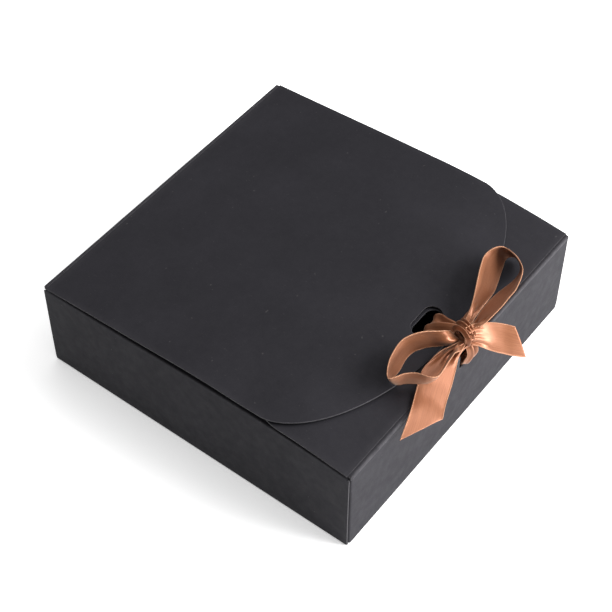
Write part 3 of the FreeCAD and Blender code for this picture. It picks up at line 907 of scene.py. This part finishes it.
def ribbon_strip(edges, u, cut):
    """Strip between two edge lines, as a grid of rows along it and columns u across it: its
    points, unit normals, width, and length along it at each point, and its mean length."""
    line = curve_through(np.array(edges, float).reshape(-1, 6))
    middle = (line[:, :3] + line[:, 3:]) / 2
    along = np.concatenate([[0], np.cumsum(np.linalg.norm(np.diff(middle, axis=0), axis=1))])
    rows = max(8, math.ceil(along[-1] / ROW))
    upper_end, lower_end = along[-1] - cut[0], along[-1] - cut[1]
    end = lower_end + (upper_end - lower_end) * (1 + u) / 2
    where = np.linspace(0, end, rows + 1)
    at = sampled(line, along, where)
    across = at[..., :3] - at[..., 3:]
    step = 0.5
    tangent = sampled(middle, along, where + step) - sampled(middle, along, where - step)
    points = (at[..., :3] + at[..., 3:]) / 2 + across * (u / 2)[None, :, None]
    width = np.linalg.norm(across, axis=-1)
    return points, unit(np.cross(tangent, across)), width, where, (upper_end + lower_end) / 2


def ribbon_relief(width, where, u, waves, phase, crown, ripple, deepest, seed):
    """How far a ribbon stands off its strip: pleats where it is drawn narrow, its crown, and its
    slow waves."""
    height = np.zeros_like(width)
    for i, row in enumerate(width):
        drawn = float(np.clip((PLEATED_UNDER - row.mean()) / PLEATS_FULL, 0, 1))
        height[i] = fold_height(float(row.mean()), waves, phase, u, deepest) * drawn
    height += crown * (1 - u ** 2)[None, :] * np.clip(width / RIBBON_WIDTH, 0, 1)
    for i, j in np.ndindex(width.shape):
        place = Vector((where[i, j] / RIPPLE_LENGTH, u[j] * 0.8, seed))
        height[i, j] += ripple * noise.noise(place)
    return height


def shell_faces(rows, columns):
    """Faces of a grid with two sides and a rim, its second side's points after its first's."""
    count = rows * columns
    index = np.arange(count).reshape(rows, columns)
    corners = (index[:-1, :-1], index[:-1, 1:], index[1:, 1:], index[1:, :-1])
    quads = np.stack([c.ravel() for c in corners], 1)
    rim = np.concatenate([index[0, :], index[1:, -1], index[-1, -2::-1], index[-2:0:-1, 0]])
    beside = np.roll(rim, -1)
    edge = np.stack([rim, rim + count, beside + count, beside], 1)
    return np.concatenate([quads, quads[:, ::-1] + count, edge]).tolist()


def ribbon(name, body, edges, waves=2.5, phase=0.0, crown=0.0, cut=(0.0, 0.0), ripple=0.25,
           replaced=(), deepest=1.5, seed=1.0):
    """Length of ribbon between two edge lines, given as pairs of points from the knot's middle.

    waves, phase and deepest shape its pleats, crown is the height of its middle above its edges,
    cut the lengths trimmed from the end at each edge, and ripple the size of its slow waves."""
    u = ribbon_columns()
    strip, normal, width, where, length = ribbon_strip(edges, u, cut)
    height = ribbon_relief(width, where, u, waves, phase, crown, ripple, deepest, seed)
    grid = strip + normal * height[..., None]
    face = unit(np.cross(np.gradient(grid, axis=0), np.gradient(grid, axis=1)))
    on_edge = np.clip((np.abs(u) - 1 + SELVEDGE_SHARE) / SELVEDGE_SHARE * 2, 0, 1)
    half = RIBBON / 2 + SELVEDGE_SWELL * on_edge * np.where(np.abs(u) >= 1, 0.4, 1)
    front = grid + face * half[None, :, None]
    back = grid - face * half[None, :, None]
    points = np.vstack([front.reshape(-1, 3), back.reshape(-1, 3)]) + KNOT_AT
    shape = width.shape
    uv = np.stack([np.broadcast_to(u * RIBBON_WIDTH / 2, shape), where], -1).reshape(-1, 2)
    selvedge = np.broadcast_to(on_edge, shape).ravel()
    piece = finish_mesh(name, points, shell_faces(*shape), [COPPER_SATIN], body,
                        [("selvedge", np.tile(selvedge, 2))], uv=np.tile(uv, (2, 1)))
    if replaced:
        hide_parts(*replaced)


def from_knot(pairs):
    """Edge points given from the box's middle and its creases' height, moved to the knot's middle."""
    base = np.array([0, 0, HEIGHT]) - KNOT_AT
    return [(np.array(a) + base, np.array(b) + base) for a, b in pairs]


RIGHT_LOOP = [
    ((4.0, -77.6, 9.0), (4.0, -77.2, 5.0)),
    ((10.0, -76.4, 12.5), (13.0, -76.6, 4.0)),
    ((20.6, -72.0, 16.0), (28.5, -76.0, 4.0)),
    ((29.6, -68.0, 16.0), (36.0, -74.0, 4.0)),
    ((36.6, -66.0, 16.0), (43.0, -71.5, 4.0)),
    ((42.6, -67.0, 16.0), (49.4, -69.6, 4.0)),
    ((46.3, -69.6, 15.0), (53.0, -71.2, 3.4)),
    ((45.3, -75.6, 15.0), (52.0, -74.8, 3.4)),
    ((41.3, -81.6, 15.0), (47.4, -78.2, 3.6)),
    ((36.3, -84.6, 15.0), (41.8, -78.8, 4.0)),
    ((29.3, -86.6, 15.0), (33.0, -77.5, 4.2)),
    ((22.3, -86.6, 15.0), (25.0, -77.0, 4.4)),
    ((15.3, -86.6, 14.0), (16.0, -77.5, 4.6)),
    ((8.0, -85.0, 11.5), (8.0, -79.0, 5.0)),
    ((4.5, -81.5, 9.5), (4.5, -79.6, 5.0)),
]
LEFT_LOOP = [
    ((-1.3, -75.9, 8.8), (-1.4, -78.9, 2.4)),
    ((-7.5, -75.6, 14.0), (-6.3, -76.9, 4.2)),
    ((-14.2, -69.8, 16.4), (-11.0, -71.2, 4.4)),
    ((-21.3, -66.0, 17.0), (-16.8, -67.6, 4.3)),
    ((-27.3, -65.4, 17.0), (-22.5, -67.0, 4.3)),
    ((-35.3, -67.0, 17.0), (-29.8, -68.4, 4.3)),
    ((-40.9, -69.8, 16.8), (-34.6, -68.6, 4.2)),
    ((-42.9, -72.0, 16.5), (-36.0, -70.4, 4.0)),
    ((-41.0, -73.6, 16.5), (-35.3, -72.4, 4.4)),
    ((-37.1, -75.6, 16.5), (-33.2, -74.4, 4.6)),
    ((-34.2, -79.6, 16.8), (-30.6, -77.6, 4.6)),
    ((-32.9, -84.4, 17.0), (-28.0, -80.9, 4.4)),
    ((-30.4, -87.0, 16.6), (-24.8, -82.0, 4.2)),
    ((-25.6, -87.0, 16.0), (-18.9, -81.8, 4.0)),
    ((-18.6, -85.7, 15.2), (-11.4, -80.2, 4.1)),
    ((-11.1, -83.6, 11.8), (-6.2, -79.9, 4.2)),
    ((-6.2, -82.4, 7.8), (-3.0, -80.0, 3.4)),
    ((-1.6, -80.8, 5.8), (0.0, -79.4, 3.2)),
]
LEFT_TAIL = [
    ((-1.6, -80.0, 5.4), (-0.4, -82.6, 3.4)),
    ((-5.8, -78.4, 5.4), (-3.6, -82.4, 2.8)),
    ((-10.8, -76.2, 5.1), (-7.8, -83.2, 2.2)),
    ((-17.2, -75.6, 5.2), (-12.8, -85.4, 1.5)),
    ((-24.1, -75.8, 4.8), (-19.4, -88.0, 0.2)),
    ((-32.0, -78.6, 2.2), (-27.9, -91.0, -1.6)),
    ((-42.6, -82.8, 1.0), (-36.5, -94.6, -3.2)),
    ((-54.0, -86.3, -1.8), (-47.0, -98.6, -6.0)),
]
RIGHT_TAIL = [
    ((0.6, -80.3, 12.0), (0.2, -83.8, 4.3)),
    ((5.8, -81.4, 10.6), (2.6, -86.1, 2.6)),
    ((11.6, -84.2, 8.2), (6.6, -89.2, -1.6)),
    ((16.0, -88.0, 6.2), (10.4, -93.2, -4.6)),
    ((19.8, -92.6, 4.0), (14.4, -97.0, -7.4)),
    ((23.6, -97.0, 1.4), (18.9, -100.9, -10.0)),
]
LID_STRAP = [
    ((-4.6, -63.4, -1.5), (6.2, -62.9, -1.5)),
    ((-4.3, -63.8, 2.6), (6.0, -63.3, 2.6)),
    ((-3.5, -66.2, 4.6), (5.8, -65.6, 4.2)),
    ((-1.8, -70.4, 6.4), (3.8, -70.2, 4.8)),
    ((0.0, -76.0, 8.2), (2.6, -76.0, 5.6)),
]
FRONT_STRAP = [
    ((-1.2, -82.0, 4.7), (4.8, -83.0, 4.4)),
    ((-2.0, -84.0, 2.7), (5.2, -84.4, 1.2)),
    ((-1.9, -84.6, -0.5), (5.5, -84.9, -1.6)),
    ((-2.6, -84.2, -2.9), (5.2, -84.5, -3.6)),
    ((-3.3, -83.0, -6.4), (5.5, -83.2, -6.6)),
    ((-3.5, -81.0, -7.0), (5.6, -81.0, -7.0)),
    ((-3.6, -79.4, -6.9), (5.8, -79.4, -6.9)),
]
UNDER_STRAP = [
    ((-7.2, -78.4, -6.6), (7.2, -78.4, -6.6)),
    ((-7.2, -76.4, -2.4), (7.2, -76.4, -2.4)),
    ((-7.2, -71.0, -0.1), (7.2, -71.0, -0.1)),
    ((-7.2, -64.4, 0.9), (7.2, -64.4, 0.9)),
]


def knot_wrap():
    """The turn of ribbon drawn tight round the middle of the bow."""
    pairs = []
    for i in range(KNOT_STATIONS):
        turn = math.radians(KNOT_START - KNOT_STEP * i)
        reach = KNOT_REACH + KNOT_GROWTH * i
        y, z = reach * math.cos(turn), (reach - 0.2) * math.sin(turn)
        slant = math.cos(turn)
        half = KNOT_HALF + KNOT_UNEVEN * math.cos(turn + 0.9)
        pairs.append(((half + slant, y, z), (-half + slant, y, z)))
    ribbon("bow_knot", "bow", pairs, waves=2.3, phase=0.8, crown=-0.6, ripple=0.5,
           replaced=["ribbon_knot"], deepest=1.0, seed=5.0)


def bow():
    """Two loops, two tails, the straps to the slots, and the knot."""
    ribbon("bow_right_loop", "bow", from_knot(RIGHT_LOOP), waves=2.2, phase=0.6, crown=-0.5,
           ripple=0.4, replaced=["ribbon_right_loop"], seed=2.0)
    ribbon("bow_left_loop", "bow", from_knot(LEFT_LOOP), waves=1.0, phase=0.4, crown=0.4,
           ripple=0.4, replaced=["ribbon_left_loop"], seed=3.0)
    ribbon("bow_left_tail", "bow", from_knot(LEFT_TAIL), waves=2.0, phase=1.2, crown=-0.5,
           cut=(0.0, 14.5), ripple=0.6, replaced=["ribbon_left_tail"], seed=7.0)
    ribbon("bow_right_tail", "bow", from_knot(RIGHT_TAIL), waves=2.6, phase=0.4, crown=0.9,
           cut=(6.0, 0.0), ripple=0.6, replaced=["ribbon_right_tail"], seed=8.0)
    ribbon("lid_strap", "bow", from_knot(LID_STRAP), waves=1.5, phase=2.2, crown=-0.5,
           replaced=["ribbon_lid_strap"], deepest=2.2, seed=9.0)
    ribbon("front_strap", "bow", from_knot(FRONT_STRAP), waves=1.9, phase=0.3, crown=-0.2,
           replaced=["ribbon_front_strap"], deepest=1.3, seed=10.0)
    ribbon("under_strap", "front_flap", from_knot(UNDER_STRAP), waves=1.0, ripple=0.08,
           replaced=["ribbon_under_strap"], seed=12.0)
    knot_wrap()


# ---------------------------------------------------------------- studio

def area_light(name, place, size, power):
    data = bpy.data.lights.new(name, "AREA")
    data.shape = "RECTANGLE"
    data.size, data.size_y = size
    data.energy = power
    light = bpy.data.objects.new(name, data)
    light.location = place
    light.rotation_euler = (Vector(LIGHT_TARGET) - Vector(place)).to_track_quat("-Z", "Y").to_euler()
    bpy.context.scene.collection.objects.link(light)


def studio():
    """Pale floor that glows a little as painted light, even surrounding light and three soft lights."""
    floor = bpy.data.meshes.new("floor")
    size = FLOOR_HALF
    floor.from_pydata([(-size, -size, 0), (size, -size, 0), (size, size, 0), (-size, size, 0)], [],
                      [(0, 1, 2, 3)])
    floor.materials.append(floor_material())
    plane = bpy.data.objects.new("floor", floor)
    bpy.context.scene.collection.objects.link(plane)
    world = bpy.data.worlds.new("studio")
    world.use_nodes = True
    world.node_tree.nodes["Background"].inputs["Color"].default_value = (1.0, 1.0, 1.0, 1.0)
    world.node_tree.nodes["Background"].inputs["Strength"].default_value = WORLD_LIGHT
    bpy.context.scene.world = world
    for light in LIGHTS:
        area_light(*light)
    bpy.context.scene.view_settings.view_transform = "Standard"


def camera():
    azimuth, elevation = math.radians(CAMERA_AZIMUTH), math.radians(CAMERA_ELEVATION)
    back = Vector((math.sin(azimuth) * math.cos(elevation), -math.cos(azimuth) * math.cos(elevation),
                   math.sin(elevation)))
    data = bpy.data.cameras.new("camera")
    data.sensor_width = 36.0
    data.lens = CAMERA_LENS
    data.clip_start, data.clip_end = 0.01, 20.0
    eye = bpy.data.objects.new("camera", data)
    eye.location = (CAMERA_TARGET + back * CAMERA_DISTANCE) * MM
    eye.rotation_euler = back.to_track_quat("Z", "Y").to_euler()
    bpy.context.scene.collection.objects.link(eye)
    bpy.context.scene.camera = eye


# ---------------------------------------------------------------- assembly

camera()
studio()

base = frame["nodes"]["base_panel"]
base.data.materials.clear()
base.data.materials.append(BLACK_CARD)

end_panel("front_panel", -1, True, ["front_wall", "front_left_corner_tab", "front_right_corner_tab"])
end_panel("back_panel", 1, False, ["back_wall", "back_left_corner_tab", "back_right_corner_tab"])
for word, direction in (("left", -1), ("right", 1)):
    side_panel(word + "_side_panel", direction,
               [word + "_outer_wall", word + "_wall_spine", word + "_inner_wall"])
lid()
flap()
fold_end = WALL_END + FOLD_OVERHANG
crease("lid_fold", 1, math.atan(LID_SLOPE), [(-fold_end, fold_end)], ["lid_crease"])
crease("flap_fold", -1, FLAP_RISE,
       [(-fold_end, NOTCH_SPAN[0]), (NOTCH_SPAN[1], fold_end)], ["flap_crease"])
bow()
